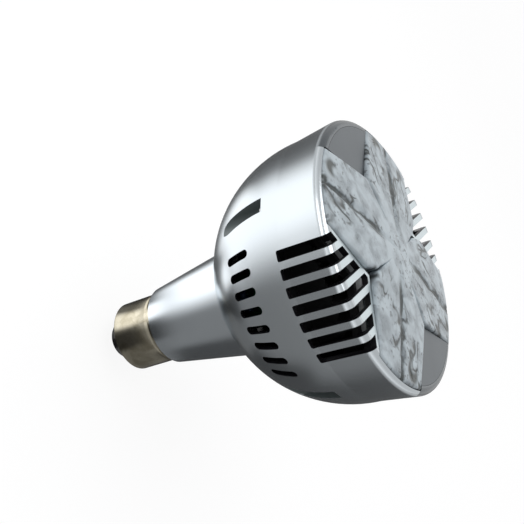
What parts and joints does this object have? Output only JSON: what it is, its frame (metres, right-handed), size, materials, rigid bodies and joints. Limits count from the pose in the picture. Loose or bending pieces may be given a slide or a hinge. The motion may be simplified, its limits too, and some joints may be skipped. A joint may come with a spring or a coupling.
{
  "type": "reflector led lamp",
  "caption": "Reflector-shaped LED lamp with a satin vented housing, a small cooling fan, a petal-shaped clear lens and a screw cap.",
  "frame": {"origin": "on the lamp's axis, at the lower end of the screw shell's straight wall", "axes": "+Z along the lamp's axis from the screw cap to the lens; -Y through the middle of one slotted vent, +X through the middle of a plain facet"},
  "size_m": [0.0944, 0.0944, 0.1219],
  "materials": {
    "cap_metal": "nickel-plated, satin",
    "cap_black": "black, glossy",
    "contact_metal": "tinned",
    "housing_silver": "satin silver",
    "lens_clear": "clear with a fine frosted texture",
    "sink_black": "black anodised",
    "plate_white": "white coated",
    "led_yellow": "yellow phosphor",
    "screw_steel": "zinc-plated",
    "fan_black": "black, matt",
    "bearing_bronze": "sintered",
    "ferrite": "dark grey",
    "stator_steel": "laminated",
    "copper_wire": "enamelled copper",
    "board_green": "green solder mask",
    "tape_yellow": "yellow tape",
    "can_dark": "dark sleeve",
    "film_red": "red dipped",
    "chip_black": "black moulded",
    "fuse_blue": "blue coated",
    "wire_red": "red insulation",
    "wire_black": "black insulation"
  },
  "bodies": {
    "lamp_body": {"screw_shell": "cap_metal", "cap_insulator": "cap_black", "centre_contact": "contact_metal", "neck_housing": "housing_silver", "dome_housing": "housing_silver", "front_facets": "housing_silver", "front_lens": "lens_clear", "heat_sink": "sink_black", "led_plate": "plate_white", "led_chips": "led_yellow", "plate_screws": "screw_steel", "housing_screws": "screw_steel", "neck_screws": "screw_steel", "fan_screws": "screw_steel", "fan_baffle": "fan_black", "fan_frame": "fan_black", "fan_bearing": "bearing_bronze", "fan_stator": "stator_steel", "fan_coils": "copper_wire", "fan_circuit_board": "board_green", "driver_board": "board_green", "transformer_core": "ferrite", "transformer_winding": "tape_yellow", "bulk_capacitor": "can_dark", "output_capacitor": "can_dark", "film_capacitor": "film_red", "bridge_rectifier": "chip_black", "driver_chip": "chip_black", "choke": "ferrite", "fuse_resistor": "fuse_blue", "contact_lead": "wire_black", "shell_lead": "wire_black", "led_leads": "wire_red", "fan_lead": "wire_black"},
    "fan_body": {"fan_rotor": "fan_black", "fan_shaft": "screw_steel", "fan_magnet_ring": "ferrite"}
  },
  "joints": [
    {"name": "fan_spin", "type": "hinge", "parent": "lamp_body", "child": "fan_body", "pos_m": [0, 0, 0.085], "axis": [0, 0, 1], "continuous": true}
  ]
}
